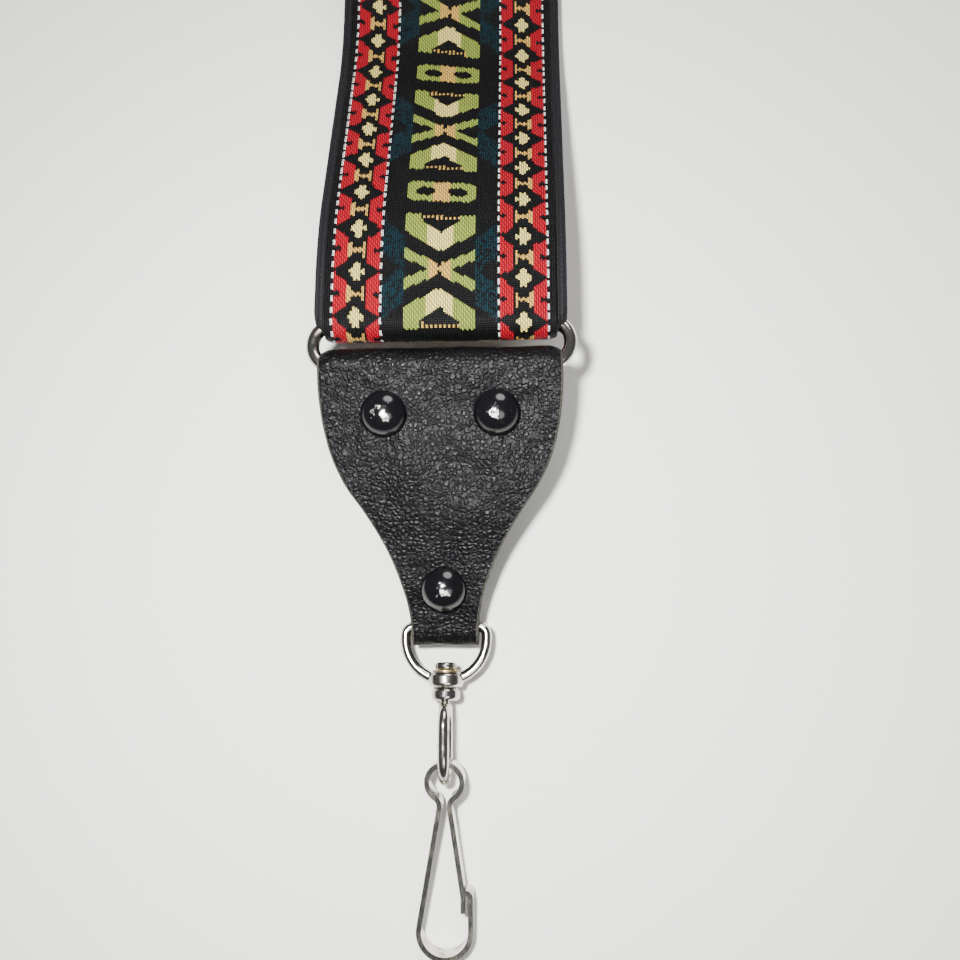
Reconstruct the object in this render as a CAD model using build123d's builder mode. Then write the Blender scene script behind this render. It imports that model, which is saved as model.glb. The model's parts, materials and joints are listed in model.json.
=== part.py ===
from build123d import *
import math
import os

os.makedirs("parts", exist_ok=True)

# ---------------------------------------------------------------- driving dimensions, mm and degrees
STRAP_W = 50.8  # two-inch webbing
BACKING_T = 1.6
RIBBON_W = 46.8
RIBBON_T = 0.7
WEB_T = BACKING_T + RIBBON_T
WEB_GAP = 0.3  # between the two layers of folded webbing

RING_WIRE_R = 1.35
RING_END_R = 4.65  # wire centreline at the ring's rounded ends
RING_STRAIGHT = 42.7
RING_Z = 23.0
FOLD_R = 1.5  # inside of each fold round a wire
RELIEF_X = 21.9  # folds are cut back outside this, where the ring's ends curve
RELIEF_PAST = 1.7

TAB_T = 2.2
TAB_LENGTH = 53.4  # between the two wires it is folded round
TAB_HALF_WIDTHS = [
    (6.0, 24.2),
    (-6.5, 24.2),
    (-12.5, 23.4),
    (-18.5, 21.8),
    (-23.5, 19.4),
    (-28.5, 16.1),
    (-33.5, 13.1),
    (-38.5, 10.6),
    (-43.0, 8.9),
    (-47.0, 7.7),
    (-52.0, 6.9),
    (-60.0, 6.9),
]
FLAP_LENGTH = 17.5
FLAP_FLARE_R = 5.2
TAIL_LENGTH = 14.5
TAIL_FLARE_R = 3.2
FLAP_GAP = 0.1

RIVET_PAIR_Y = -9.2
RIVET_PAIR_X = 11.2
RIVET_LOWER_Y = -44.8
DOME_R = 4.65
DOME_RIM = 0.6
DOME_H = 3.2
POST_R = 1.2
POST_INTO_CAP = 1.8
BACK_CAP_R = 2.9
BACK_CAP_T = 0.6

D_WIRE_R = 1.05
D_HALF_WIDTH = 8.35
D_DEPTH = 10.8
D_CORNER_R = 1.6
D_Z = 6.2
BOSS_R = 3.6
BOSS_TOP = -9.2
BOSS_T = 3.0

SWIVEL_POST_R = 1.2
SWIVEL_HEAD_R = 2.3
SWIVEL_HEAD_T = 1.5
WASHER_R = 2.7
WASHER_T = 0.4
COLLAR_R = 2.9
COLLAR_T = 2.6
RUNNING_GAP = 0.05

EYE_WIRE_R = 1.15
EYE_END_R = 4.65
EYE_LENGTH = 16.5

CLIP_T = 1.0
CLIP_W = 4.4
CLIP_LENGTH = 38.1  # inch and a half
CLIP_HEAD_R = 3.5
CLIP_BEND_R = 5.1
CLIP_NECK_HALF = 1.0
CLIP_NECK_R = 2.0
CLIP_LIP_RISE = 6.6
CLIP_LIP_CURL_R = 0.9  # the lip ends in a small curl against the gate
GATE_END_ABOVE = 3.6  # above the bend's centre, clear of a pin held in the bend
CLIP_WIRE_ABOVE = 0.2  # eye wire above the head loop's centre
CLIP_TILT = 6.2
GATE_TIP_LENGTH = 3.0
GATE_KNUCKLE_R = 0.5

SLIDER_Y = 112.0
SLIDER_Z = 9.3
SLIDER_WIRE_R = 1.5
SLIDER_HALF_LENGTH = 12.0
SLIDER_HALF_WIDTH = 28.4
SLIDER_CORNER_R = 3.0
OUTER_BAR_R = 4.0  # bare face of the webbing round an outer bar
CENTRE_BAR_R = 4.2  # and over the sewn loop on the centre bar

TAIL_END_Y = 76.0
STACK_NEAR_Y = 152.0
STACK_FAR_Y = 322.0
STACK_RUNS = 5
TURN_GAP_R = 0.9
DIP = 1.3  # each run lies this much closer to the one below it at mid-length
FAR_RISE_SPAN = 44.0

# ---------------------------------------------------------------- derived
FOLD_OUT = FOLD_R + WEB_T
RING_BAR_Y = RING_END_R
TAB_SLOPE = math.degrees(math.asin((RING_Z - D_Z) / TAB_LENGTH))
D_BAR_Y = -RING_END_R - TAB_LENGTH * math.cos(math.radians(TAB_SLOPE))
EYE_TOP = BOSS_TOP - BOSS_T - RUNNING_GAP - COLLAR_T
EYE_LOW_WIRE = EYE_TOP - EYE_LENGTH + EYE_WIRE_R
CLIP_Y = EYE_LOW_WIRE - CLIP_WIRE_ABOVE
CLIP_REACH = CLIP_LENGTH - CLIP_HEAD_R - CLIP_T / 2


# ---------------------------------------------------------------- paths of straight runs and tangent arcs
def step(point, heading, move):
    """The point and heading after one move: ("go", length) or ("turn", degrees, radius)."""
    across = (-math.sin(math.radians(heading)), math.cos(math.radians(heading)))
    if move[0] == "go":
        return (point[0] + move[1] * across[1], point[1] - move[1] * across[0]), heading
    side = math.copysign(move[2], move[1])
    centre = (point[0] + side * across[0], point[1] + side * across[1])
    turned = heading + move[1]
    across = (-math.sin(math.radians(turned)), math.cos(math.radians(turned)))
    return (centre[0] - side * across[0], centre[1] - side * across[1]), turned


def shifted(point, heading, aside):
    """A point moved to the left of its heading."""
    turn = math.radians(heading)
    return (point[0] - aside * math.sin(turn), point[1] + aside * math.cos(turn))


def walk(point, heading, moves):
    """Every station along a path, with the middle of each arc."""
    stations = [(point, heading, None)]
    for move in moves:
        middle = None
        if move[0] == "turn":
            middle = step(point, heading, ("turn", move[1] / 2, move[2]))
        point, heading = step(point, heading, move)
        stations.append((point, heading, middle))
    return stations


def draw_strip(stations, low, high):
    """The closed outline between two offsets of a path, in the open BuildLine."""
    for aside in (low, high):
        for before, after in zip(stations, stations[1:]):
            first = shifted(before[0], before[1], aside)
            last = shifted(after[0], after[1], aside)
            if after[2] is None:
                Line(first, last)
            else:
                ThreePointArc(first, shifted(*after[2], aside), last)
    for point, heading, _ in (stations[0], stations[-1]):
        Line(shifted(point, heading, low), shifted(point, heading, high))


def shift(aside, span, radius):
    """Moves that carry a path sideways over a span and leave it parallel; left is positive."""
    drop = abs(aside)
    length = math.sqrt(span**2 + (drop - 2 * radius) ** 2 - 4 * radius**2)
    angle = math.atan2(span, 2 * radius - drop) - math.atan2(length, 2 * radius)
    turn = math.copysign(math.degrees(angle), aside)
    return [("turn", turn, radius), ("go", length), ("turn", -turn, radius)]


def beneath(moves, gap):
    """The same path walked back along its right-hand side."""
    back = []
    for move in reversed(moves):
        if move[0] == "turn":
            move = ("turn", -move[1], move[2] + math.copysign(gap, move[1]))
        back.append(move)
    return back


def closing(bend_r, flare_r, apart):
    """The extra turn that brings a folded layer in to lie this far from the other, by a bend and a flare."""
    return math.degrees(math.acos((apart - bend_r + flare_r) / (bend_r + flare_r)))


# ------------------------------------------------------- the webbing: its bare face, ribbon on the left
slope = math.degrees(math.asin((OUTER_BAR_R + CENTRE_BAR_R) / SLIDER_HALF_LENGTH))
slope_length = math.sqrt(SLIDER_HALF_LENGTH**2 - (OUTER_BAR_R + CENTRE_BAR_R) ** 2)
ring_flare_r = 8.0 + WEB_T
ring_close = closing(FOLD_R, ring_flare_r, WEB_GAP)
ring_flare_y = (FOLD_R + ring_flare_r) * math.sin(math.radians(ring_close))
front_level = SLIDER_Z - OUTER_BAR_R
front_drop = RING_Z + FOLD_R - front_level
front_straight = 8.0
front_span = 76.0
front_flat = SLIDER_Y - SLIDER_HALF_LENGTH - RING_BAR_Y - front_straight - front_span
front = [("go", front_straight)] + shift(-front_drop, front_span, 60.0) + [("go", front_flat)]
over_slider = [("turn", slope, OUTER_BAR_R), ("go", slope_length), ("turn", -slope, CENTRE_BAR_R)]
returning = beneath(front + over_slider, WEB_GAP)
returning[-1] = ("go", front_straight - ring_flare_y)

loop_r = CENTRE_BAR_R - WEB_GAP
tail_apart = 2 * WEB_T + WEB_GAP
tail_flare_r = 8.0
tail_close = closing(loop_r, tail_flare_r, tail_apart)
tail_flare = (loop_r + tail_flare_r) * math.sin(math.radians(tail_close))
tail_start = (TAIL_END_Y, SLIDER_Z - OUTER_BAR_R - WEB_GAP - tail_apart)
webbing = [
    ("go", SLIDER_Y - SLIDER_HALF_LENGTH - TAIL_END_Y),
    ("turn", slope, OUTER_BAR_R + WEB_GAP + tail_apart),
    ("go", slope_length - tail_flare),
    ("turn", -tail_close, tail_flare_r),
    ("turn", tail_close + 180 - slope, loop_r),
]
webbing += returning
webbing += [("turn", ring_close, ring_flare_r), ("turn", -180 - ring_close, FOLD_R)]
webbing += front + over_slider
webbing += [("turn", -slope, CENTRE_BAR_R), ("go", slope_length), ("turn", slope, OUTER_BAR_R)]
slider_out = SLIDER_Y + SLIDER_HALF_LENGTH
webbing += [("go", 2.0)] + shift(-front_level, 24.0, 20.0)
webbing += [("go", STACK_FAR_Y - slider_out - 26.0)]
run = STACK_FAR_Y - STACK_NEAR_Y
for number in range(1, STACK_RUNS):
    up = 1 if number % 2 else -1
    turn_r = TURN_GAP_R + (WEB_T if number % 2 else 0)
    webbing.append(("turn", 180 * up, turn_r))
    ends = [("go", 8.0)]
    sag = shift(up * DIP * number, 45.0, 60.0)
    lift = shift(-up * DIP * number, 45.0, 60.0)
    webbing += ends + sag + [("go", run - 106.0)] + lift + ends
stack_top = (STACK_RUNS - 1) * (WEB_T + 2 * TURN_GAP_R)
webbing += [("go", 6.0)] + shift(RING_Z + FOLD_R - stack_top, FAR_RISE_SPAN, 40.0)
webbing += [("go", 8.0), ("turn", -180 - ring_close, FOLD_R), ("turn", ring_close, ring_flare_r)]
webbing += [("go", 8.0 - ring_flare_y)]
webbing += beneath(shift(RING_Z + FOLD_R - stack_top, FAR_RISE_SPAN, 40.0), WEB_GAP)[:2]
far_bar_y = STACK_FAR_Y + 6.0 + FAR_RISE_SPAN + 8.0
FAR_RING_Y = far_bar_y + RING_END_R
stations = walk(tail_start, 0.0, webbing)

# the part's middle: both ends are alike, so it is half-way between the rings
MIDDLE_Y = FAR_RING_Y / 2
NEAR = Location((0, -MIDDLE_Y, 0))
FAR = Location((0, FAR_RING_Y - MIDDLE_Y, 0), (0, 0, 180))


def save(piece, label, place=NEAR):
    """Puts a finished piece in its place in the part and exports it."""
    placed = piece.moved(place)
    placed.label = label
    export_step(placed, "parts/" + label + ".step")


# ---------------------------------------------------------------- webbing and slider
def layer(low, high, width):
    """A layer of the webbing between two offsets of its path, cut back at both ring folds."""
    with BuildPart() as cloth:
        with BuildSketch(Plane.YZ):
            with BuildLine():
                draw_strip(stations, low, high)
            make_face()
        extrude(amount=width / 2, both=True)
        reach = FOLD_OUT + 1.0
        length = reach + RELIEF_PAST
        for bar_y, side in ((RING_BAR_Y, 1), (far_bar_y, -1)):
            with Locations((0, bar_y + side * (RELIEF_PAST - reach) / 2, RING_Z)):
                with Locations((RELIEF_X + 3.0, 0, 0), (-RELIEF_X - 3.0, 0, 0)):
                    Box(6.0, length, 2 * reach, mode=Mode.SUBTRACT)
    return cloth.part


save(layer(0.0, BACKING_T, STRAP_W), "webbing_backing")
save(layer(BACKING_T, WEB_T, RIBBON_W), "jacquard_ribbon")


def round_loop(half_x, half_y, corner):
    """A closed rounded rectangle in the open BuildLine, begun in the middle of its +Y side."""
    at = (0, half_y)
    for sign_x, sign_y in [(1, 1), (1, -1), (-1, -1), (-1, 1)]:
        centre = (sign_x * (half_x - corner), sign_y * (half_y - corner))
        on_x = (sign_x * half_x, centre[1])
        on_y = (centre[0], sign_y * half_y)
        first, last = (on_y, on_x) if sign_x == sign_y else (on_x, on_y)
        middle = tuple(c + s * corner * math.sqrt(0.5) for c, s in zip(centre, (sign_x, sign_y)))
        Line(at, first)
        ThreePointArc(first, middle, last)
        at = last
    Line(at, (0, half_y))


with BuildPart() as slider:
    with BuildLine():
        round_loop(SLIDER_HALF_WIDTH, SLIDER_HALF_LENGTH, SLIDER_CORNER_R)
    with BuildSketch(Plane.YZ):
        with Locations((SLIDER_HALF_LENGTH, 0)):
            Circle(SLIDER_WIRE_R)
    sweep()
    with BuildSketch(Plane.YZ.offset(-SLIDER_HALF_WIDTH)):
        Circle(SLIDER_WIRE_R)
    extrude(amount=2 * SLIDER_HALF_WIDTH)
save(slider.part, "slider_buckle", NEAR * Location((0, SLIDER_Y, SLIDER_Z)))


# ---------------------------------------------------------------- the fittings, alike at both ends
AT_RING = Location((0, 0, RING_Z))
AT_TAB = Location((0, -RING_END_R, RING_Z), (TAB_SLOPE, 0, 0))
AT_D = Location((0, D_BAR_Y, D_Z))
AT_CLIP = Location((0, D_BAR_Y + CLIP_Y, D_Z), (CLIP_TILT, 0, 0))
AWAY = Plane(origin=(0, 0, 0), x_dir=(1, 0, 0), z_dir=(0, -1, 0))  # faces out along the strap


def turned(inner, outer, top, thick, round_r):
    """Adds a disc facing along the strap, its outer corners rounded, to the open BuildPart."""
    with BuildSketch(Plane.YZ) as outline:
        with Locations((-top - thick / 2, (inner + outer) / 2)):
            Rectangle(thick, outer - inner)
        fillet(outline.vertices().group_by(Axis.Y)[-1], round_r)
    revolve(outline.sketch, axis=Axis.Y)


def save_both(piece, label, place):
    save(piece, "near_" + label, NEAR * place)
    save(piece, "far_" + label, FAR * place)


with BuildPart() as ring:
    with BuildLine():
        round_loop(RING_STRAIGHT / 2 + RING_END_R, RING_END_R, RING_END_R - 0.001)
    with BuildSketch(Plane.YZ):
        with Locations((RING_END_R, 0)):
            Circle(RING_WIRE_R)
    sweep()
save_both(ring.part, "oval_ring", AT_RING)

flap_close = closing(FOLD_R, FLAP_FLARE_R, FLAP_GAP)
tail_end_close = closing(FOLD_R, TAIL_FLARE_R, FLAP_GAP)
flap_flare = (FOLD_R + FLAP_FLARE_R) * math.sin(math.radians(flap_close))
tail_end_flare = (FOLD_R + TAIL_FLARE_R) * math.sin(math.radians(tail_end_close))
hide = [
    ("go", FLAP_LENGTH - flap_flare),
    ("turn", -flap_close, FLAP_FLARE_R),
    ("turn", 180 + flap_close, FOLD_R),
    ("go", TAB_LENGTH),
    ("turn", 180 + tail_end_close, FOLD_R),
    ("turn", -tail_end_close, TAIL_FLARE_R),
    ("go", TAIL_LENGTH - tail_end_flare),
]
RIVETS = {
    "left": (-RIVET_PAIR_X, RIVET_PAIR_Y),
    "right": (RIVET_PAIR_X, RIVET_PAIR_Y),
    "lower": (0, RIVET_LOWER_Y),
}
TAB_TOP = FOLD_R + TAB_T
TAB_UNDER = FOLD_R - FLAP_GAP - TAB_T
with BuildPart() as tab:
    with BuildSketch(Plane.YZ):
        with BuildLine():
            draw_strip(walk((-FLAP_LENGTH, FOLD_R - FLAP_GAP), 0.0, hide), -TAB_T, 0.0)
        make_face()
    extrude(amount=30, both=True)
    with BuildSketch():
        with BuildLine():
            right = [(half, y) for y, half in TAB_HALF_WIDTHS]
            left = [(-half, y) for half, y in right]
            Spline(*right)
            Line(right[-1], left[-1])
            Spline(*left)
            Line(left[0], right[0])
        make_face()
    extrude(amount=10, both=True, mode=Mode.INTERSECT)
    reach = TAB_TOP + 1.0
    with Locations((0, (reach - RELIEF_PAST) / 2, 0)):
        with Locations((RELIEF_X + 3.0, 0, 0), (-RELIEF_X - 3.0, 0, 0)):
            Box(6.0, reach + RELIEF_PAST, 2 * reach, mode=Mode.SUBTRACT)
    with Locations(*[(x, y, 0) for x, y in RIVETS.values()]):
        Cylinder(POST_R + RUNNING_GAP, 20, mode=Mode.SUBTRACT)
save_both(tab.part, "leather_tab", AT_TAB)

with BuildPart() as rivet_base:
    with BuildSketch(Plane.XY.offset(TAB_UNDER - BACK_CAP_T)):
        Circle(BACK_CAP_R)
    extrude(amount=BACK_CAP_T)
    with BuildSketch(Plane.XY.offset(TAB_UNDER)):
        Circle(POST_R)
    extrude(amount=TAB_TOP - TAB_UNDER + POST_INTO_CAP)

with BuildPart() as rivet_cap:
    with BuildSketch(Plane.XZ):
        with BuildLine():
            rim = (DOME_R, TAB_TOP + DOME_RIM)
            crown = (0, TAB_TOP + DOME_H)
            Line((0, TAB_TOP), (DOME_R, TAB_TOP))
            Line((DOME_R, TAB_TOP), rim)
            TangentArc(crown, rim, tangent=(1, 0))
            Line(crown, (0, TAB_TOP))
        make_face()
    revolve(axis=Axis.Z)
    with BuildSketch(Plane.XY.offset(TAB_TOP)):
        Circle(POST_R + RUNNING_GAP)
    extrude(amount=POST_INTO_CAP + RUNNING_GAP, mode=Mode.SUBTRACT)
for name, (x, y) in RIVETS.items():
    save_both(rivet_base.part, "rivet_base_" + name, AT_TAB * Location((x, y, 0)))
    save_both(rivet_cap.part, "rivet_cap_" + name, AT_TAB * Location((x, y, 0)))

with BuildPart() as d_ring:
    with BuildLine():
        square = D_HALF_WIDTH - D_CORNER_R
        inset = D_CORNER_R * (1 - math.sqrt(0.5))
        curve_y = -(D_DEPTH - D_HALF_WIDTH)
        Line((0, 0), (square, 0))
        ThreePointArc((square, 0), (D_HALF_WIDTH - inset, -inset), (D_HALF_WIDTH, -D_CORNER_R))
        Line((D_HALF_WIDTH, -D_CORNER_R), (D_HALF_WIDTH, curve_y))
        ThreePointArc((D_HALF_WIDTH, curve_y), (0, -D_DEPTH), (-D_HALF_WIDTH, curve_y))
        Line((-D_HALF_WIDTH, curve_y), (-D_HALF_WIDTH, -D_CORNER_R))
        ThreePointArc((-D_HALF_WIDTH, -D_CORNER_R), (inset - D_HALF_WIDTH, -inset), (-square, 0))
        Line((-square, 0), (0, 0))
    with BuildSketch(Plane.YZ):
        Circle(D_WIRE_R)
    sweep()
    turned(0.0, BOSS_R, -BOSS_TOP, BOSS_T, 0.9)
    with BuildSketch(AWAY.offset(-BOSS_TOP - 1)):
        Circle(SWIVEL_POST_R + RUNNING_GAP)
    extrude(amount=BOSS_T + 2, mode=Mode.SUBTRACT)
save_both(d_ring.part, "d_ring", AT_D)

washer_top = -BOSS_TOP - RUNNING_GAP - WASHER_T
head_top = washer_top - RUNNING_GAP - SWIVEL_HEAD_T
for label, radius, top, thick in (
    ("swivel_washer", WASHER_R, washer_top, WASHER_T),
    ("swivel_head", SWIVEL_HEAD_R, head_top, SWIVEL_HEAD_T),
):
    with BuildPart() as disc:
        turned(SWIVEL_POST_R + 0.01, radius, top, thick, 0.4 * thick)
    save_both(disc.part, label, AT_D)

with BuildPart() as eye:
    embed = 0.6
    loop_half = (EYE_LENGTH + embed) / 2 - EYE_WIRE_R
    loop_middle = EYE_TOP + embed - EYE_WIRE_R - loop_half
    with BuildLine(Plane(origin=(0, loop_middle, 0), x_dir=(0, 1, 0), z_dir=(1, 0, 0))):
        round_loop(loop_half, EYE_END_R, EYE_END_R - 0.001)
    with BuildSketch(Plane(origin=(0, loop_middle, EYE_END_R), x_dir=(1, 0, 0), z_dir=(0, 1, 0))):
        Circle(EYE_WIRE_R)
    sweep()
    turned(0.0, COLLAR_R, -EYE_TOP - COLLAR_T, COLLAR_T, 0.9)
    with BuildSketch(AWAY.offset(head_top)):
        Circle(SWIVEL_POST_R)
    extrude(amount=-EYE_TOP - head_top)
save_both(eye.part, "swivel_eye", AT_D)

# ---------------------------------------------------------------- the spring clip: a strip bent on edge
neck_x = CLIP_NECK_HALF + CLIP_NECK_R
neck_y = -math.sqrt((CLIP_HEAD_R + CLIP_NECK_R) ** 2 - neck_x**2)
neck_turn = math.degrees(math.atan2(-neck_y, neck_x))
bend_y = -(CLIP_REACH - CLIP_BEND_R - CLIP_T / 2)
between = math.hypot(neck_x, neck_y - bend_y)
lean = math.degrees(math.asin((CLIP_NECK_R + CLIP_BEND_R) / between) - math.atan2(neck_x, neck_y - bend_y))
leg = math.sqrt(between**2 - (CLIP_NECK_R + CLIP_BEND_R) ** 2)
hook_moves = [
    ("turn", -neck_turn, CLIP_NECK_R),
    ("turn", 180 + 2 * neck_turn, CLIP_HEAD_R),
    ("turn", -neck_turn - lean, CLIP_NECK_R),
    ("go", leg),
    ("turn", 180 + lean, CLIP_BEND_R),
    ("go", CLIP_LIP_RISE),
    ("turn", 90.0, CLIP_LIP_CURL_R),
]
gate_aside = CLIP_BEND_R - CLIP_LIP_CURL_R - CLIP_T / 2 - RUNNING_GAP - CLIP_NECK_HALF
gate_span = -bend_y - GATE_END_ABOVE - GATE_TIP_LENGTH + neck_y
gate_moves = shift(gate_aside, gate_span, CLIP_NECK_R) + [("go", GATE_TIP_LENGTH)]
root = (CLIP_NECK_HALF, neck_y)
with BuildPart() as hook:
    with BuildSketch(Plane.XY.offset(-CLIP_W / 2)):
        with BuildLine():
            draw_strip(walk(root, 90.0, hook_moves), -CLIP_T / 2, CLIP_T / 2)
        make_face()
        with Locations(root):
            Circle(GATE_KNUCKLE_R + RUNNING_GAP, mode=Mode.SUBTRACT)
    extrude(amount=CLIP_W)
save_both(hook.part, "clip_hook", AT_CLIP)

with BuildPart() as gate:
    with BuildSketch(Plane.XY.offset(-CLIP_W / 2)):
        with BuildLine():
            draw_strip(walk(root, 270.0, gate_moves), -CLIP_T / 2, CLIP_T / 2)
        make_face()
        with Locations(root):
            Circle(GATE_KNUCKLE_R)
    extrude(amount=CLIP_W)
save_both(gate.part, "clip_gate", AT_CLIP)
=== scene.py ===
import json
import math

import bpy
import numpy as np
from mathutils import Matrix, Vector, noise


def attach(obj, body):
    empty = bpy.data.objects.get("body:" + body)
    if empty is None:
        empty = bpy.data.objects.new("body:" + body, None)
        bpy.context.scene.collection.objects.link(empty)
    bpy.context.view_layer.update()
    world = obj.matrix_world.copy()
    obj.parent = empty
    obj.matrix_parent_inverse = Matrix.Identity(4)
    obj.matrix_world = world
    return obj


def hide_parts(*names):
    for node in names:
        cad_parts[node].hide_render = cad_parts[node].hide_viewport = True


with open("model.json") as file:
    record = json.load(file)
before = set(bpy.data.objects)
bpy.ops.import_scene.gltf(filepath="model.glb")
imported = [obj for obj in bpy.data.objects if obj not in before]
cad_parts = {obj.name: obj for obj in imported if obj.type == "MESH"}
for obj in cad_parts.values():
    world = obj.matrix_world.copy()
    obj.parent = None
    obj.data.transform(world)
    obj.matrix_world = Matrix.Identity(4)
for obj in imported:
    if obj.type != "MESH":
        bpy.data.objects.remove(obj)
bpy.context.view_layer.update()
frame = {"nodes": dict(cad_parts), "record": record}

rng = np.random.default_rng(7)
MM = 0.001

# ---------------------------------------------------------------- the strap's dimensions, mm
STRAP_W, RIBBON_W = 50.8, 46.8
BACKING_T, RIBBON_T = 1.6, 0.7
WEB_T = BACKING_T + RIBBON_T
RING_END_R, RING_STRAIGHT, RING_Z, FOLD_R = 4.65, 42.7, 23.0, 1.5
TAB_T, TAB_LENGTH, D_Z = 2.2, 53.4, 6.2
SLIDER_Y, SLIDER_Z, SLIDER_HALF = 112.0, 9.3, 12.0
OUTER_BAR_R, CENTRE_BAR_R, WEB_GAP = 4.0, 4.2, 0.3
STACK_NEAR_Y, STACK_FAR_Y, STACK_RUNS, TURN_GAP_R, DIP = 152.0, 322.0, 5, 0.9, 1.3
FAR_LEAD, FAR_RISE, FAR_RISE_R = 6.0, 44.0, 40.0
TAIL_Y, FOLD_STRAIGHT, FLARE_R, FALL_SPAN, FALL_R = 76.0, 8.0, 8.0, 76.0, 60.0
SINK_LEAD, SINK_SPAN, SINK_R, SAG_SPAN, SAG_R = 2.0, 24.0, 20.0, 45.0, 60.0
RIVETS = {"left": (-11.2, -9.2), "right": (11.2, -9.2), "lower": (0.0, -44.8)}
TAB_SLOPE = math.asin((RING_Z - D_Z) / TAB_LENGTH)
MIDDLE_Y = (STACK_FAR_Y + FAR_LEAD + FAR_RISE + FOLD_STRAIGHT + RING_END_R) / 2
TURN_STEP = 9  # degrees
PICK = 0.62  # one step of the woven pattern along the strap


# ---------------------------------------------------------------- paths of straight runs and tangent arcs
def shift(aside, span, radius):
    """A turn, a straight run and the turn back, which move a path aside over a span."""
    drop = abs(aside)
    length = math.sqrt(span**2 + (drop - 2 * radius) ** 2 - 4 * radius**2)
    angle = math.atan2(span, 2 * radius - drop) - math.atan2(length, 2 * radius)
    turn = math.copysign(math.degrees(angle), aside)
    return [("turn", turn, radius), ("go", length), ("turn", -turn, radius)]


def beneath(moves, gap):
    """The moves walked back the other way, on a parallel path a gap away."""
    back = []
    for move in reversed(moves):
        if move[0] == "turn":
            move = ("turn", -move[1], move[2] + math.copysign(gap, move[1]))
        back.append(move)
    return back


def closing(bend_r, flare_r, apart):
    """How far past half a turn a fold bends, in degrees, for its two runs to lie that far apart."""
    return math.degrees(math.acos((apart - bend_r + flare_r) / (bend_r + flare_r)))


def trace(point, heading, moves, spacing, face):
    """Rows of y, z, heading and length along a face at that offset, and the length at each move."""
    rows, marks = [], []
    y, z, h, along = *point, math.radians(heading), 0.0
    for move in moves:
        marks.append(along)
        if move[0] == "go":
            count = max(1, math.ceil(move[1] / spacing))
            for k in range(count):
                d = move[1] * k / count
                rows.append((y + d * math.cos(h), z + d * math.sin(h), h, along + d))
            y, z, along = y + move[1] * math.cos(h), z + move[1] * math.sin(h), along + move[1]
            continue
        sweep, side = math.radians(move[1]), math.copysign(move[2], move[1])
        cy, cz = y - side * math.sin(h), z + side * math.cos(h)
        outer = abs(side - face)
        count = max(2, math.ceil(abs(sweep) * outer / spacing), math.ceil(abs(move[1]) / TURN_STEP))
        for k in range(count):
            a = h + sweep * k / count
            length = along + outer * abs(sweep) * k / count
            rows.append((cy + side * math.sin(a), cz - side * math.cos(a), a, length))
        h, along = h + sweep, along + outer * abs(sweep)
        y, z = cy + side * math.sin(h), cz - side * math.cos(h)
    rows.append((y, z, h, along))
    return np.array(rows), marks + [along]


slope = math.degrees(math.asin((OUTER_BAR_R + CENTRE_BAR_R) / SLIDER_HALF))
slope_length = math.sqrt(SLIDER_HALF**2 - (OUTER_BAR_R + CENTRE_BAR_R) ** 2)
flare_r = FLARE_R + WEB_T
ring_close = closing(FOLD_R, flare_r, WEB_GAP)
ring_flare_y = (FOLD_R + flare_r) * math.sin(math.radians(ring_close))
level = SLIDER_Z - OUTER_BAR_R
front = [("go", FOLD_STRAIGHT)] + shift(level - RING_Z - FOLD_R, FALL_SPAN, FALL_R)
front += [("go", SLIDER_Y - SLIDER_HALF - RING_END_R - (FALL_SPAN + FOLD_STRAIGHT))]
over = [("turn", slope, OUTER_BAR_R), ("go", slope_length), ("turn", -slope, CENTRE_BAR_R)]
returning = beneath(front + over, WEB_GAP)
returning[-1] = ("go", FOLD_STRAIGHT - ring_flare_y)
apart = 2 * WEB_T + WEB_GAP
tail_close = closing(CENTRE_BAR_R - WEB_GAP, FLARE_R, apart)
tail_flare = (CENTRE_BAR_R - WEB_GAP + FLARE_R) * math.sin(math.radians(tail_close))
moves = [
    ("go", SLIDER_Y - SLIDER_HALF - TAIL_Y),
    ("turn", slope, OUTER_BAR_R + WEB_GAP + apart),
    ("go", slope_length - tail_flare),
    ("turn", -tail_close, FLARE_R),
    ("turn", tail_close + 180 - slope, CENTRE_BAR_R - WEB_GAP),
]
moves += returning + [("turn", ring_close, flare_r), ("turn", -180 - ring_close, FOLD_R)]
FRONT_MOVE = len(moves)
moves += front + over + [("turn", -slope, CENTRE_BAR_R), ("go", slope_length), ("turn", slope, OUTER_BAR_R)]
first_run = STACK_FAR_Y - SLIDER_Y - SLIDER_HALF - (SINK_LEAD + SINK_SPAN)
moves += [("go", SINK_LEAD)] + shift(-level, SINK_SPAN, SINK_R) + [("go", first_run)]
middle_run = STACK_FAR_Y - STACK_NEAR_Y - 2 * (SAG_SPAN + FOLD_STRAIGHT)
for number in range(1, STACK_RUNS):
    up = 1 if number % 2 else -1
    moves.append(("turn", 180 * up, TURN_GAP_R + (WEB_T if number % 2 else 0)))
    sag, lift = (shift(way * up * DIP * number, SAG_SPAN, SAG_R) for way in (1, -1))
    moves += [("go", FOLD_STRAIGHT)] + sag + [("go", middle_run)] + lift + [("go", FOLD_STRAIGHT)]
rise = shift(RING_Z + FOLD_R - (STACK_RUNS - 1) * (WEB_T + 2 * TURN_GAP_R), FAR_RISE, FAR_RISE_R)
moves += [("go", FAR_LEAD)] + rise
FAR_FOLD_MOVE = len(moves) + 1
moves += [("go", FOLD_STRAIGHT), ("turn", -180 - ring_close, FOLD_R)]
moves += [("turn", ring_close, flare_r), ("go", FOLD_STRAIGHT - ring_flare_y)]
moves += beneath(rise, WEB_GAP)[:2]
START = (TAIL_Y, SLIDER_Z - OUTER_BAR_R - WEB_GAP - apart)


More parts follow.
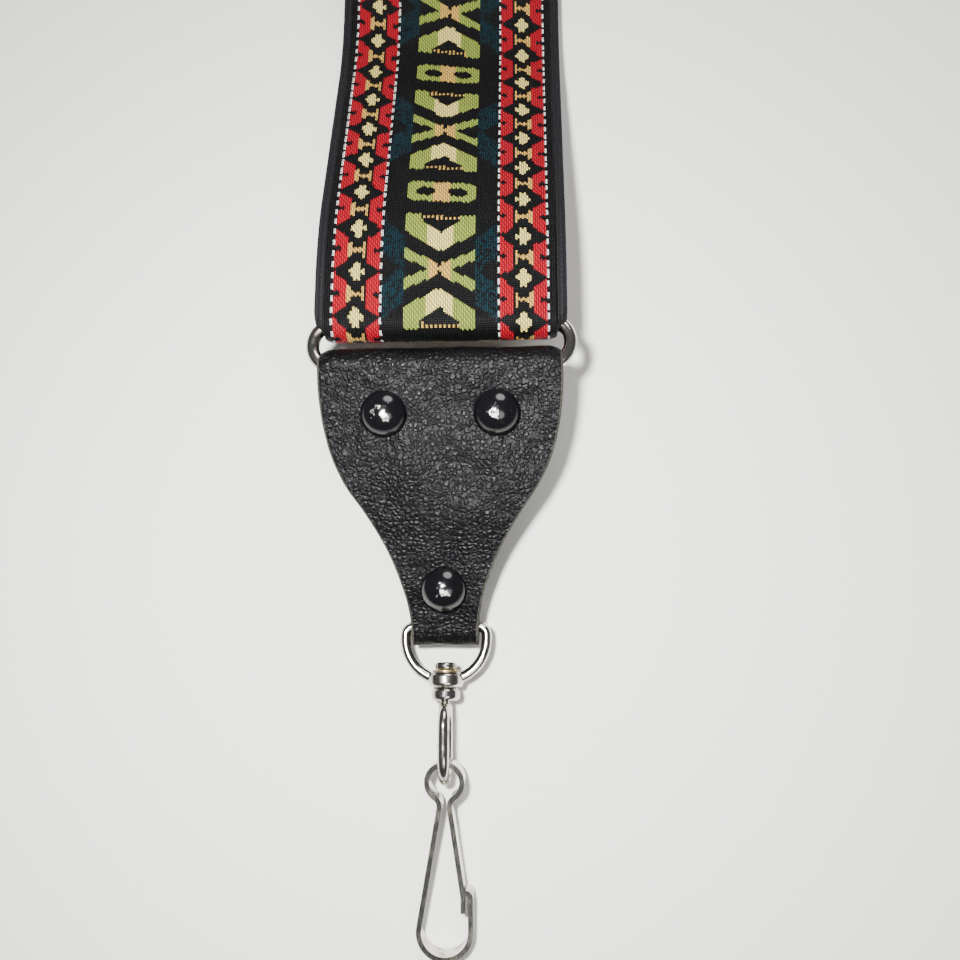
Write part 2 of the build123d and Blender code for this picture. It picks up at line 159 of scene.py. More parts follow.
# ---------------------------------------------------------------- meshes
def add_object(name, verts, faces, materials, indices=None):
    mesh = bpy.data.meshes.new(name)
    mesh.from_pydata(np.asarray(verts).tolist(), [], [list(map(int, f)) for f in faces])
    for material in materials:
        mesh.materials.append(material)
    if indices is not None:
        mesh.polygons.foreach_set("material_index", np.asarray(indices, dtype=np.int32))
    mesh.polygons.foreach_set("use_smooth", np.full(len(mesh.polygons), True))
    mesh.update()
    obj = bpy.data.objects.new(name, mesh)
    bpy.context.scene.collection.objects.link(obj)
    return obj


def to_row(points, at_tab=False):
    """Points in mm, in the near end's frame or its leather tab's, as row-frame metres."""
    p = np.array(points, dtype=float)
    if at_tab:
        c, s = math.cos(TAB_SLOPE), math.sin(TAB_SLOPE)
        p = np.stack((p[:, 0], p[:, 1] * c - p[:, 2] * s - RING_END_R, p[:, 1] * s + p[:, 2] * c + RING_Z), 1)
    p[:, 1] -= MIDDLE_Y
    return p * MM


def set_attribute(obj, name, values, kind="FLOAT_VECTOR", domain="POINT"):
    data = obj.data.attributes.new(name, kind, domain)
    key = "color" if kind == "FLOAT_COLOR" else "vector"
    data.data.foreach_set(key, np.asarray(values, dtype=np.float32).ravel())


def shell(rows, halves, low, high, count, edge_r, edge_steps=3):
    """A closed strip along a path, still open at its two ends.

    Returns mm points (rows x loop), each point's (x, along, side), the faces, and each face's kind:
    0 on the high side, 1 on a cut edge, 2 on the low side.
    """
    turns = [math.pi / 2 * k / edge_steps for k in range(1, edge_steps + 1)]
    fractions = np.linspace(-1, 1, count)
    side = []
    for f in fractions:
        side.append((f, 0.0, high, 1.0))
    for a in turns:
        side.append((1.0, math.sin(a), high - edge_r * (1 - math.cos(a)), 0.5))
    for a in reversed(turns):
        side.append((1.0, math.sin(a), low + edge_r * (1 - math.cos(a)), 0.5))
    for f in fractions[::-1]:
        side.append((f, 0.0, low, 0.0))
    for a in turns:
        side.append((-1.0, -math.sin(a), low + edge_r * (1 - math.cos(a)), 0.5))
    for a in reversed(turns):
        side.append((-1.0, -math.sin(a), high - edge_r * (1 - math.cos(a)), 0.5))
    side = np.array(side)
    n, m = len(rows), len(side)
    y, z, h, along = (rows[:, k][:, None] for k in range(4))
    x = side[:, 0][None] * (halves[:, None] - edge_r) + side[:, 1][None] * edge_r
    offset = np.repeat(side[:, 2][None], n, 0)
    points = np.stack((x, y - offset * np.sin(h), z + offset * np.cos(h)), 2)
    coords = np.stack((x, np.repeat(along, m, 1), np.repeat(side[:, 3][None], n, 0)), 2)
    i, j = np.meshgrid(np.arange(n - 1), np.arange(m), indexing="ij")
    k = (j + 1) % m
    faces = np.stack((i * m + j, i * m + k, (i + 1) * m + k, (i + 1) * m + j), 2).reshape(-1, 4)
    band = np.where(np.arange(m) < count - 1, 0, 1)
    first = count + 2 * edge_steps
    band[first : first + count - 1] = 2
    kinds = np.tile(band, n - 1)
    return points, coords, faces, kinds


def capped(faces, kinds, m, n):
    """The faces with both ends closed by one polygon each."""
    ends = [list(range(m))[::-1], [(n - 1) * m + j for j in range(m)]]
    return list(faces) + ends, np.concatenate((kinds, [1, 1]))


def retreat(x):
    """How far a fold round the ring's straight side draws back where the wire begins to curve."""
    past = np.clip(np.abs(x) - RING_STRAIGHT / 2, 0, RING_END_R - 0.2)
    return RING_END_R - np.sqrt(RING_END_R**2 - past**2)


FOLD_BEFORE, FOLD_EASE, FOLD_AFTER, FOLD_HALF_HEIGHT = 2.6, 4.2, 6.0, 5.5


def follow_ring(points, bar_y, out, bar_z=RING_Z):
    """Draws a fold's corners back along the ring's rounded ends. out is -1 where the fold points down -Y."""
    y, z = points[..., 1], points[..., 2]
    depth = (y - bar_y) * out
    weight = np.clip((depth + FOLD_BEFORE) / FOLD_EASE, 0, 1)
    weight = weight * weight * (3 - 2 * weight)
    near = (np.abs(z - bar_z) < FOLD_HALF_HEIGHT) & (depth > -FOLD_BEFORE) & (depth < FOLD_AFTER)
    points[..., 1] -= out * np.where(near, weight * retreat(points[..., 0]), 0)


# ---------------------------------------------------------------- node materials
def new_material(name, colour=(0.5, 0.5, 0.5), roughness=0.5, metallic=0.0):
    material = bpy.data.materials.new(name)
    material.use_nodes = True
    shader = material.node_tree.nodes["Principled BSDF"]
    shader.inputs["Base Color"].default_value = (*colour, 1)
    shader.inputs["Roughness"].default_value = roughness
    shader.inputs["Metallic"].default_value = metallic
    return material, material.node_tree, shader


def put(tree, socket, value):
    if isinstance(value, bpy.types.NodeSocket):
        tree.links.new(value, socket)
    else:
        socket.default_value = value


def calc(tree, operation, *values):
    node = tree.nodes.new("ShaderNodeMath")
    node.operation = operation
    for socket, value in zip(node.inputs, values):
        put(tree, socket, value)
    return node.outputs[0]


def ranged(tree, value, low, high):
    """0 to 1, eased, as a value goes from low to high."""
    node = tree.nodes.new("ShaderNodeMapRange")
    node.interpolation_type = "SMOOTHSTEP"
    for key, v in (("Value", value), ("From Min", low), ("From Max", high)):
        put(tree, node.inputs[key], v)
    return node.outputs["Result"]


def mixed(tree, factor, a, b, kind="MIX"):
    node = tree.nodes.new("ShaderNodeMix")
    node.data_type, node.blend_type = "RGBA", kind
    put(tree, node.inputs[0], factor)
    put(tree, node.inputs[6], a)
    put(tree, node.inputs[7], b)
    return node.outputs[2]


def texture(tree, kind, vector, scale, **settings):
    node = tree.nodes.new(kind)
    put(tree, node.inputs["Vector"], vector)
    put(tree, node.inputs["Scale"], scale)
    for key, value in settings.items():
        if key in node.inputs:
            put(tree, node.inputs[key], value)
        else:
            setattr(node, key, value)
    return node


def bump(tree, shader, height, distance, strength=1.0):
    node = tree.nodes.new("ShaderNodeBump")
    put(tree, node.inputs["Height"], height)
    put(tree, node.inputs["Strength"], strength)
    put(tree, node.inputs["Distance"], distance)
    tree.links.new(node.outputs["Normal"], shader.inputs["Normal"])


def object_coords(tree):
    return tree.nodes.new("ShaderNodeTexCoord").outputs["Object"]


def attribute(tree, name):
    node = tree.nodes.new("ShaderNodeAttribute")
    node.attribute_name = name
    split = tree.nodes.new("ShaderNodeSeparateXYZ")
    tree.links.new(node.outputs["Vector"], split.inputs[0])
    return node.outputs["Color"], split.outputs


def srgb(*values):
    return tuple(v / 255 / 12.92 if v <= 10 else ((v / 255 + 0.055) / 1.055) ** 2.4 for v in values)


def wave(tree, value, period, phase=0.0):
    """0 to 1 and back, once a period."""
    turned = calc(tree, "MULTIPLY_ADD", value, 2 * math.pi / period, phase)
    return calc(tree, "MULTIPLY_ADD", calc(tree, "SINE", turned), 0.5, 0.5)


def ribbon_material():
    """Satin floats over a fine black ground, thread by thread, on the strap's own coordinates in mm."""
    material, tree, shader = new_material("jacquard", roughness=0.55)
    dye, _ = attribute(tree, "dye")
    _, at = attribute(tree, "cloth")
    x, along = at[0], at[1]
    warp = wave(tree, x, 0.45)
    slant = calc(tree, "MULTIPLY_ADD", x, 1.35, along)
    twill = wave(tree, slant, 1.15)
    weft = wave(tree, along, 0.42)
    _, level = attribute(tree, "raised")
    floats = calc(tree, "MULTIPLY", calc(tree, "POWER", warp, 0.6), calc(tree, "POWER", twill, 0.35))
    ground = calc(tree, "MULTIPLY", warp, calc(tree, "MULTIPLY_ADD", weft, 0.7, 0.3))
    height = tree.nodes.new("ShaderNodeMix")
    for number, value in ((0, level[0]), (2, ground), (3, floats)):
        put(tree, height.inputs[number], value)
    fibre = texture(tree, "ShaderNodeTexNoise", object_coords(tree), 5200.0, Detail=2.0).outputs[0]
    # The dye is darkened where the threads sit low and kept light on their crowns: painted shade between the
    # threads, times a random fibre tone.
    tone = calc(tree, "MULTIPLY_ADD", height.outputs[0], 1.05, 0.18)
    tone = calc(tree, "MULTIPLY", tone, calc(tree, "MULTIPLY_ADD", fibre, 0.5, 0.75))
    shade = tree.nodes.new("ShaderNodeCombineXYZ")
    for socket in shade.inputs:
        put(tree, socket, tone)
    put(tree, shader.inputs["Base Color"], mixed(tree, 1.0, dye, shade.outputs[0], "MULTIPLY"))
    put(tree, shader.inputs["Roughness"], calc(tree, "MULTIPLY_ADD", fibre, 0.3, 0.38))
    shader.inputs["Specular IOR Level"].default_value = 0.14
    relief = calc(tree, "ADD", height.outputs[0], calc(tree, "MULTIPLY", fibre, 0.25))
    bump(tree, shader, relief, 0.00016, 0.9)
    return material


def webbing_material():
    """Black polypropylene webbing: ribs along the strap, crossed by a finer weft."""
    material, tree, shader = new_material("black_webbing", roughness=0.7)
    _, at = attribute(tree, "cloth")
    pitch = 0.9
    rib = wave(tree, at[0], pitch)
    rib_number = calc(tree, "ROUND", calc(tree, "DIVIDE", at[0], pitch))
    cross = wave(tree, calc(tree, "MULTIPLY_ADD", rib_number, 0.55, at[1]), 1.1)
    fibre = texture(tree, "ShaderNodeTexNoise", object_coords(tree), 2600.0, Detail=4.0).outputs[0]
    crossed = calc(tree, "MULTIPLY", rib, calc(tree, "MULTIPLY_ADD", cross, 0.6, 0.4))
    height = calc(tree, "ADD", crossed, fibre)
    # Darker where the ribs and weft sit low, lighter on their crowns: painted shade in the valleys between
    # the threads, plus a random fibre tone.
    put(tree, shader.inputs["Base Color"], mixed(tree, height, (*srgb(6, 6, 7), 1), (*srgb(20, 20, 23), 1)))
    put(tree, shader.inputs["Roughness"], calc(tree, "MULTIPLY_ADD", fibre, 0.3, 0.5))
    shader.inputs["Specular IOR Level"].default_value = 0.16
    bump(tree, shader, height, 0.0002, 0.8)
    return material


def leather_material():
    """Pebbled black leather: rounded cells over finer creases."""
    material, tree, shader = new_material("black_leather", roughness=0.5)
    at = object_coords(tree)
    drift = texture(tree, "ShaderNodeTexNoise", at, 420.0, Detail=2.0)
    bent = mixed(tree, 0.0012, at, drift.outputs["Color"], "ADD")
    cells, edge = "ShaderNodeTexVoronoi", "DISTANCE_TO_EDGE"
    pebble = texture(tree, cells, bent, 1050.0, feature=edge, Randomness=0.85)
    small = texture(tree, cells, bent, 2600.0, feature=edge)
    rise = ranged(tree, pebble.outputs["Distance"], 0.0, 0.32)
    fine = ranged(tree, small.outputs["Distance"], 0.0, 0.25)
    broad = texture(tree, "ShaderNodeTexNoise", at, 130.0, Detail=3.0).outputs[0]
    grain = calc(tree, "MULTIPLY_ADD", fine, 0.14, rise)
    height = calc(tree, "ADD", grain, calc(tree, "MULTIPLY", broad, 1.2))
    # Darker in the creases between the pebbles and lighter on their tops: painted shade in the creases.
    put(tree, shader.inputs["Base Color"], mixed(tree, rise, (*srgb(3, 3, 4), 1), (*srgb(11, 11, 13), 1)))
    rough = calc(tree, "MULTIPLY_ADD", rise, -0.08, 0.34)
    put(tree, shader.inputs["Roughness"], calc(tree, "MULTIPLY_ADD", broad, 0.12, rough))
    shader.inputs["Specular IOR Level"].default_value = 0.11
    bump(tree, shader, height, 0.00013, 0.8)
    return material


def suede_material(name, dark, light):
    material, tree, shader = new_material(name, roughness=0.95)
    at = object_coords(tree)
    fluff = texture(tree, "ShaderNodeTexNoise", at, 1500.0, Detail=6.0, Roughness=0.7).outputs[0]
    blotch = texture(tree, "ShaderNodeTexNoise", at, 260.0, Detail=2.0).outputs[0]
    shade = ranged(tree, calc(tree, "ADD", fluff, calc(tree, "MULTIPLY", blotch, 0.5)), 0.5, 1.0)
    put(tree, shader.inputs["Base Color"], mixed(tree, shade, (*dark, 1), (*light, 1)))
    put(tree, shader.inputs["Roughness"], calc(tree, "MULTIPLY_ADD", fluff, 0.2, 0.8))
    bump(tree, shader, fluff, 0.0002, 0.9)
    return material


def metal_material(name, light, dark, rough):
    """Plated wire with fine scratches, dull patches and a little tarnish."""
    material, tree, shader = new_material(name, light, rough, 1.0)
    at = object_coords(tree)
    stretched = tree.nodes.new("ShaderNodeMapping")
    tree.links.new(at, stretched.inputs[0])
    stretched.inputs["Scale"].default_value = (1.0, 0.15, 1.0)
    scratch = texture(tree, "ShaderNodeTexNoise", stretched.outputs[0], 3200.0, Detail=3.0).outputs[0]
    patch = texture(tree, "ShaderNodeTexNoise", at, 340.0, Detail=4.0).outputs[0]
    worn = ranged(tree, patch, 0.48, 0.72)
    put(tree, shader.inputs["Base Color"], mixed(tree, worn, (*light, 1), (*dark, 1)))
    extra = calc(tree, "MULTIPLY_ADD", worn, 0.14, rough)
    put(tree, shader.inputs["Roughness"], calc(tree, "MULTIPLY_ADD", scratch, 0.1, extra))
    bump(tree, shader, calc(tree, "ADD", scratch, patch), 0.00003, 0.35)
    return material


def enamel_material():
    """Glossy black enamel, worn to bare metal in a ragged spot at the crown."""
    material, tree, shader = new_material("black_enamel", srgb(9, 9, 11), 0.16)
    _, at = attribute(tree, "dome")
    spots = texture(tree, "ShaderNodeTexNoise", object_coords(tree), 620.0, Detail=5.0, Roughness=0.65)
    patch = spots.outputs[0]
    edge = calc(tree, "MULTIPLY_ADD", patch, 2.4, -1.1)
    bare = ranged(tree, calc(tree, "SUBTRACT", edge, at[0]), -0.08, 0.1)
    put(tree, shader.inputs["Base Color"], mixed(tree, bare, (*srgb(9, 9, 11), 1), (*srgb(196, 190, 182), 1)))
    put(tree, shader.inputs["Metallic"], bare)
    put(tree, shader.inputs["Roughness"], calc(tree, "MULTIPLY_ADD", bare, 0.25, 0.14))
    shader.inputs["Coat Weight"].default_value = 0.2
    shader.inputs["Coat Roughness"].default_value = 0.06
    bump(tree, shader, calc(tree, "SUBTRACT", patch, bare), 0.00006, 0.4)
    return material


def thread_material():
    material, tree, shader = new_material("black_thread", srgb(16, 16, 18), 0.6)
    twist = texture(tree, "ShaderNodeTexNoise", object_coords(tree), 5000.0, Detail=2.0).outputs[0]
    put(tree, shader.inputs["Roughness"], calc(tree, "MULTIPLY_ADD", twist, 0.3, 0.4))
    put(tree, shader.inputs["Base Color"], mixed(tree, twist, (*srgb(14, 14, 16), 1), (*srgb(52, 52, 58), 1)))
    bump(tree, shader, twist, 0.0001, 0.8)
    return material


JACQUARD, WEBBING, LEATHER = ribbon_material(), webbing_material(), leather_material()
SUEDE = suede_material("cut_edge", srgb(20, 20, 17), srgb(58, 56, 46))
FLESH = suede_material("flesh_side", srgb(26, 25, 23), srgb(60, 57, 50))
NICKEL = metal_material("nickel", srgb(196, 192, 184), srgb(140, 132, 120), 0.08)
BRASS = metal_material("worn_brass", srgb(214, 190, 140), srgb(150, 120, 70), 0.22)
ENAMEL, THREAD = enamel_material(), thread_material()

# ---------------------------------------------------------------- the woven pattern, mm
RED = np.array(srgb(152, 8, 28))
CREAM, YELLOW = np.array(srgb(210, 194, 112)), np.array(srgb(190, 150, 74))
GREEN, TEAL = np.array(srgb(124, 138, 58)), np.array(srgb(4, 34, 42))
WHITE, BLACK = np.array(srgb(214, 212, 206)), np.array(srgb(5, 5, 6))
GUARD, REPEAT, X_AT, GUARD_AT = 9.5, 38.0, 9.8, -0.9


def weave(x, along):
    """The dye and whether a thread floats on top; along is 0 where the ribbon leaves the near fold."""
    a = np.abs(x)
    along = along + x * np.clip(0.05 + 0.0018 * along, 0, 0.2)
    dye = np.repeat(BLACK[None], len(x), 0)
    raised = np.zeros(len(x))

    def lay(where, colour, height=1.0):
        dye[where] = colour[where] if np.ndim(colour) == 2 else colour
        raised[where] = height

    u = np.abs(a - 16.8)
    v = np.abs((along - GUARD_AT + GUARD / 2) % GUARD - GUARD / 2)
    mid = GUARD / 2 - v
    wing = (u > 1.95) & (u < 4.55) & (v > 0.55 + 0.72 * (4.2 - u)) & ~((u > 3.3) & (mid < 0.55))
    lay(wing, RED)
    lay((u > 1.05) & (u < 1.75) & (mid < 1.6) | (u < 1.06) & (mid < 0.42), YELLOW)
    lay((u < 0.95) & (v < 1.0) | (u < 0.55) & (v < 1.85) | (u < 1.65) & (v < 0.5), CREAM)
    for line in (11.85, 21.75):
        lay((np.abs(a - line) < 0.26) & ((along + line) % (GUARD / 4) < 1.3), WHITE)

    from_x = np.abs((along - X_AT + REPEAT / 2) % REPEAT - REPEAT / 2)
    inner = a < 6.95
    tint = np.where((a < 2.3)[:, None], YELLOW, GREEN)
    lay(inner & (np.abs(from_x - 0.48 * a) < 1.1) & ~((a < 0.5) & (from_x > 0.5)), tint)
    down = (from_x - 4.4) / 1.12
    pale = np.where((a < 2.6)[:, None], CREAM, GREEN)
    hollow = a < np.clip(1.4 * (down - 3.2), 0, 4.0)
    lay(inner & (a < 0.7 + 1.8 * down) & (down > 0) & (down < 7.3) & ~hollow, pale)
    lay((a < 4.0) & (np.abs(down - 6.7) < 0.36) & ((x + 45) % 0.9 < 0.5), YELLOW)
    out = REPEAT / 2 - from_x
    eye = ((a - 3.3) / 2.1) ** 2 + (out / 1.3) ** 2 < 1
    block = out < 2.7 - np.clip(a - 5.6, 0, 2) * 0.5
    lay(inner & block & ~eye, np.where((a < 1.9)[:, None], YELLOW, GREEN))
    cone = from_x + (11.6 - a) * 0.85
    speck = rng.random(len(x)) < 0.62
    lay((a > 7.1) & (a < 11.4) & (cone > 3.2) & (cone < 11.0) & speck, TEAL, 0.6)
    return dye, raised


# ---------------------------------------------------------------- webbing and ribbon
RIBBON_COLUMNS, FLOAT_RISE = 105, 0.1


def bend_into_place(points):
    follow_ring(points, RING_END_R, -1)
    follow_ring(points, 2 * MIDDLE_Y - RING_END_R, 1)


def make_webbing():
    rows, _ = trace(START, 0.0, moves, 1.6, BACKING_T)
    points, coords, faces, kinds = shell(rows, np.full(len(rows), STRAP_W / 2), 0.0, BACKING_T, 25, 0.55)
    bend_into_place(points)
    faces, _ = capped(faces, kinds, points.shape[1], len(rows))
    obj = add_object("webbing", to_row(points.reshape(-1, 3)), faces, [WEBBING])
    set_attribute(obj, "cloth", coords.reshape(-1, 3))
    return obj, rows[-1, 3]


def make_ribbon():
    coarse, marks = trace(START, 0.0, moves, PICK, WEB_T)
    fine, _ = trace(START, 0.0, moves, PICK / 2, WEB_T)
    begin, end = marks[FRONT_MOVE] - 7.0, marks[FRONT_MOVE] + 96.0
    seen = fine[(fine[:, 3] >= begin) & (fine[:, 3] < end)]
    rows = np.concatenate((coarse[coarse[:, 3] < begin], seen, coarse[coarse[:, 3] >= end]))
    rows = rows[np.concatenate(([True], np.diff(rows[:, 3]) > 0.05))]
    halves = np.full(len(rows), RIBBON_W / 2)
    points, coords, faces, kinds = shell(rows, halves, BACKING_T, WEB_T, RIBBON_COLUMNS, 0.2, 2)
    m, n = points.shape[1], len(rows)
    top = np.flatnonzero(kinds == 0)
    row, column = top // m, top % m
    x = (coords[row, column, 0] + coords[row, column + 1, 0]) / 2
    along = (rows[row, 3] + rows[np.minimum(row + 1, n - 1), 3]) / 2 - marks[FRONT_MOVE]
    stagger = (column % 2) * PICK / 2
    along = np.floor((along + stagger) / PICK) * PICK - stagger + PICK / 2
    dye, raised = weave(x, along)
    lift = np.zeros((n, m))
    for dr in (0, 1):
        for dc in (0, 1):
            np.maximum.at(lift, (row + dr, column + dc), raised)
    h = rows[:, 2][:, None]
    points[..., 1] -= FLOAT_RISE * lift * np.sin(h)
    points[..., 2] += FLOAT_RISE * lift * np.cos(h)
    bend_into_place(points)
    all_faces, _ = capped(faces, kinds, m, n)
    obj = add_object("ribbon", to_row(points.reshape(-1, 3)), all_faces, [JACQUARD])
    set_attribute(obj, "cloth", coords.reshape(-1, 3))
    colours = np.ones((len(all_faces), 4))
    colours[:, :3] = BLACK
    colours[top, :3] = dye
    level = np.zeros(len(all_faces))
    level[top] = raised
    sizes = np.array([len(f) for f in all_faces])
    set_attribute(obj, "dye", np.repeat(colours, sizes, 0), "FLOAT_COLOR", "CORNER")
    set_attribute(obj, "raised", np.repeat(level[:, None], 3, 1), "FLOAT_VECTOR", "FACE")
    return obj, rows[-1, 3]


webbing, webbing_length = make_webbing()
ribbon, ribbon_length = make_ribbon()
for piece, node in ((webbing, "webbing_backing"), (ribbon, "jacquard_ribbon")):
    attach(piece, "strap")
    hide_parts(node)


# ---------------------------------------------------------------- sewing at the tail and the far end
STITCH = 2.8


def sew(name, outline, begin, offset):
    """Stitches along a closed outline of (x, along) points, from a length along the ribbon, on a face."""
    rows, _ = trace(START, 0.0, moves, PICK, WEB_T)
    verts, faces = [], []
    for (x0, s0), (x1, s1) in zip(outline, outline[1:] + outline[:1]):
        length = math.hypot(x1 - x0, s1 - s0)
        count = round(length / STITCH)
        for k in range(count):
            first = len(verts)
            for ring in range(7):
                t = (k + 0.14 + 0.72 * ring / 6) / count
                arch = math.sin(math.pi * ring / 6)
                wide, high = 0.12 + 0.2 * arch, (0.22 * arch - 0.12) * math.copysign(1, offset)
                x, along = x0 + (x1 - x0) * t, begin + s0 + (s1 - s0) * t
                y, z, h = (np.interp(along, rows[:, 3], rows[:, c]) for c in range(3))
                for side in range(6):
                    a = math.pi * side / 3
                    dx = wide * math.cos(a) * abs(s1 - s0) / length
                    ds = wide * math.cos(a) * abs(x1 - x0) / length
                    up = abs(offset) * (offset > 0) + high + 0.2 * math.sin(a)
                    py = y + ds * math.cos(h) - up * math.sin(h)
                    pz = z + ds * math.sin(h) + up * math.cos(h)
                    verts.append((x + dx, py, pz))
                if ring:
                    at = first + 6 * ring
                    faces += [(at - 6 + j, at - 6 + (j + 1) % 6, at + (j + 1) % 6, at + j) for j in range(6)]
            faces += [tuple(range(first, first + 6))[::-1], tuple(range(first + 36, first + 42))]
    obj = add_object(name, to_row(verts), faces, [THREAD])
    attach(obj, "strap")


fold_starts = trace(START, 0.0, moves, 5.0, WEB_T)[1][FAR_FOLD_MOVE]
box = [(-20.0, 0.0), (20.0, 0.0), (20.0, 15.0), (-20.0, 15.0)]
sew("far_end_stitches", box, fold_starts - 19.0, WEB_T)
sew("tail_stitches", box, 3.0, -0.1)

# ---------------------------------------------------------------- leather tabs
WIDTHS = [(6.0, 24.2), (-6.5, 24.2), (-12.5, 23.4), (-18.5, 21.8), (-23.5, 19.4), (-28.5, 16.1)]
WIDTHS += [(-33.5, 13.1), (-38.5, 10.6), (-43.0, 8.9), (-47.0, 7.7), (-52.0, 6.9), (-60.0, 6.9)]
FLAP, FLAP_FLARE_R, TAIL, TAIL_FLARE_R, LAYER_GAP = 17.5, 5.2, 14.5, 3.2, 0.1


def half_width(y):
    """A smooth curve through the tab's half-widths."""
    ys, ws = (np.array(column) for column in zip(*WIDTHS[::-1]))
    slopes = np.gradient(ws, ys)
    k = np.clip(np.searchsorted(ys, y) - 1, 0, len(ys) - 2)
    gap = ys[k + 1] - ys[k]
    t = np.clip((y - ys[k]) / gap, 0, 1)
    a, b = (2 * t**3 - 3 * t**2 + 1), (t**3 - 2 * t**2 + t)
    c, d = (3 * t**2 - 2 * t**3), (t**3 - t**2)
    return a * ws[k] + b * gap * slopes[k] + c * ws[k + 1] + d * gap * slopes[k + 1]


def swell(point):
    """The hide's broad and fine unevenness at a point, in mm."""
    broad = noise.noise(Vector(point) * 0.1) * 0.5
    return broad + noise.noise(Vector(point) * 0.35 + Vector((9, 4, 2))) * 0.09


def make_tab():
    flap, tail = closing(FOLD_R, FLAP_FLARE_R, LAYER_GAP), closing(FOLD_R, TAIL_FLARE_R, LAYER_GAP)
    hide = [
        ("go", FLAP - (FLAP_FLARE_R + FOLD_R) * math.sin(math.radians(flap))),
        ("turn", -flap, FLAP_FLARE_R),
        ("turn", 180 + flap, FOLD_R),
        ("go", TAB_LENGTH),
        ("turn", 180 + tail, FOLD_R),
        ("turn", -tail, TAIL_FLARE_R),
        ("go", TAIL - (TAIL_FLARE_R + FOLD_R) * math.sin(math.radians(tail))),
    ]
    start = (-FLAP, FOLD_R - LAYER_GAP)
    rows, _ = trace(start, 0.0, hide, 0.5, -TAB_T)
    middle, _ = trace(start, 0.0, hide, 0.5, -TAB_T / 2)
    area = np.trapz(2 * half_width(middle[:, 0]), middle[:, 3])
    points, coords, faces, kinds = shell(rows, half_width(rows[:, 0]), -TAB_T, 0.0, 97, 0.45, 4)
    x, y, z = points[..., 0], points[..., 1], points[..., 2]
    outer = coords[..., 2] < 0.6
    h = np.repeat(rows[:, 2][:, None], points.shape[1], 1)
    sink = np.zeros_like(x)
    panel = z > FOLD_R - 0.2
    for rx, ry in RIVETS.values():
        r = np.hypot(x - rx, y - ry)
        angle = np.arctan2(y - ry, x - rx)
        pucker = 0.10 * np.cos(5 * angle + rx) * np.exp(-(((r - 6.5) / 2.2) ** 2))
        sink += np.where(panel, 0.62 * np.exp(-((r / 6.2) ** 2)) + pucker, 0)
    uneven = [swell(p) for p in points.reshape(-1, 3)]
    sink -= np.array(uneven).reshape(x.shape) * np.where(panel, 1, 0.4)
    sink = np.where(outer, sink, 0)
    points[..., 1] += -sink * np.sin(h)
    points[..., 2] += sink * np.cos(h)
    follow_ring(points, 0.0, 1, 0.0)
    faces, kinds = capped(faces, kinds, points.shape[1], len(rows))
    kinds = np.choose(kinds, [2, 1, 0])
    placed = to_row(points.reshape(-1, 3), True)
    obj = add_object("near_tab_leather", placed, faces, [LEATHER, SUEDE, FLESH], kinds)
    return obj, middle[-1, 3], area


def other_end(obj, name):
    """The same piece at the far end: half a turn about the middle of the part."""
    copy = bpy.data.objects.new(name, obj.data.copy())
    copy.data.name = name
    copy.data.transform(Matrix.Rotation(math.pi, 4, "Z"))
    bpy.context.scene.collection.objects.link(copy)
    return copy


def both_ends(obj, label, body, node):
    obj.name = "near_" + label
    for end, piece in (("near_", obj), ("far_", other_end(obj, "far_" + label))):
        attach(piece, end + body)
        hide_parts(end + node)


near_tab, hide_length, hide_area = make_tab()
both_ends(near_tab, "tab_leather", "tab", "leather_tab")
for end in ("near_", "far_"):
    piece = bpy.data.objects[end + "tab_leather"]


CAP_R, CAP_SEAT = 4.65, 0.35


def make_dome(x, y):
    """A rivet's cap: a short rim and a smooth dome, turned about its own axis."""
    base, rim, tall = FOLD_R + TAB_T - CAP_SEAT, 0.6, 3.2
    profile = [(3.6, base), (4.45, base), (4.62, base + 0.16), (CAP_R, base + CAP_SEAT + rim * 0.6)]
    bulge = tall - rim
    ball = (CAP_R**2 + bulge**2) / (2 * bulge)
    low = math.asin(CAP_R / ball)
    for k in range(1, 15):
        a = low * (1 - k / 15)
        profile.append((ball * math.sin(a), base + CAP_SEAT + tall - ball + ball * math.cos(a)))
    steps = 56
    verts, tags = [], []
    for r, h in profile:
        for k in range(steps):
            a = 2 * math.pi * k / steps
            verts.append((x + r * math.cos(a), y + r * math.sin(a), h))
            tags.append((r / CAP_R if h > base + 0.5 else 2.0, 0, 0))
    verts.append((x, y, base + CAP_SEAT + tall))
    tags.append((0, 0, 0))
    faces = []
    for i in range(len(profile) - 1):
        for k in range(steps):
            j = (k + 1) % steps
            faces.append((i * steps + k, i * steps + j, (i + 1) * steps + j, (i + 1) * steps + k))
    last = (len(profile) - 1) * steps
    faces += [(last + k, last + (k + 1) % steps, len(verts) - 1) for k in range(steps)]
    faces.append(tuple(range(steps))[::-1])
    obj = add_object("dome", to_row(verts, True), faces, [ENAMEL])
    set_attribute(obj, "dome", tags)
    return obj


for name, (x, y) in RIVETS.items():
    both_ends(make_dome(x, y), "dome_" + name, "tab", "rivet_cap_" + name)

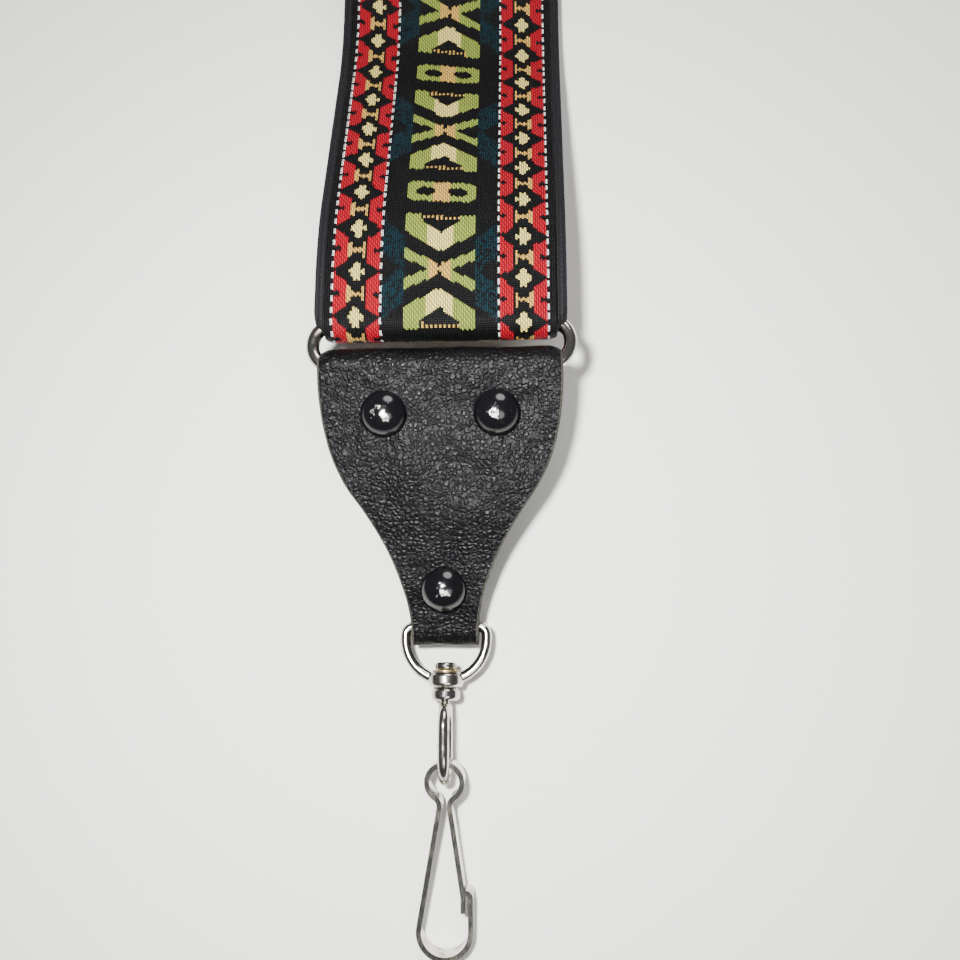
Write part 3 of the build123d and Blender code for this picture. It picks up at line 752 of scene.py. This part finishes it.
# ---------------------------------------------------------------- metal pieces keep their CAD shapes
FINISH = {"nickel": NICKEL, "worn_brass": BRASS, "black_enamel": ENAMEL}
for entry in frame["record"]["subparts"]:
    if entry["material_slot"] in FINISH:
        obj = frame["nodes"][entry["node"]]
        obj.data.materials.clear()
        obj.data.materials.append(FINISH[entry["material_slot"]])

# ---------------------------------------------------------------- floor, light and camera
floor_material, _, _ = new_material("floor", srgb(228, 227, 222), 0.9)
bpy.ops.mesh.primitive_plane_add(size=6, location=(0, 0, 0))
floor = bpy.context.object
floor.name = "floor"
floor.data.materials.append(floor_material)

world = bpy.data.worlds.new("world")
world.use_nodes = True
world.node_tree.nodes["Background"].inputs["Color"].default_value = (0.9, 0.92, 1.0, 1)
world.node_tree.nodes["Background"].inputs["Strength"].default_value = 0.12
bpy.context.scene.world = world


def add_light(name, place, target, size, power):
    data = bpy.data.lights.new(name, "AREA")
    data.shape, data.size, data.energy = "DISK", size, power
    obj = bpy.data.objects.new(name, data)
    obj.location = place
    obj.rotation_euler = (Vector(target) - Vector(place)).to_track_quat("-Z", "Y").to_euler()
    bpy.context.scene.collection.objects.link(obj)


AIM = Vector((7.3, -25.7 - MIDDLE_Y, 12.0)) * MM
add_light("soft", AIM + Vector((0.3, -0.5, 0.9)), AIM, 0.6, 4.0)
add_light("far_soft", (0.3, 0.75, 0.8), (0, 0.12, 0), 0.7, 8.0)

camera_data = bpy.data.cameras.new("camera")
camera_data.sensor_width = 36
camera_data.lens = 36
camera_data.clip_start = 0.01
camera = bpy.data.objects.new("camera", camera_data)
ELEVATION, ASIDE, DISTANCE = math.radians(78.2), math.radians(3.0), 0.198
away = Vector((math.tan(ASIDE), -math.cos(ELEVATION), math.sin(ELEVATION))).normalized()
across = Vector((0, 1, 0)).cross(away).normalized()
add_light("key", AIM + away * 0.22 + Vector((-0.035, 0.03, 0)), AIM, 0.022, 2.0)
facing = Matrix((across, away.cross(across), away)).transposed().to_4x4()
camera.matrix_world = Matrix.Translation(AIM + away * DISTANCE) @ facing
bpy.context.scene.collection.objects.link(camera)
bpy.context.scene.camera = camera
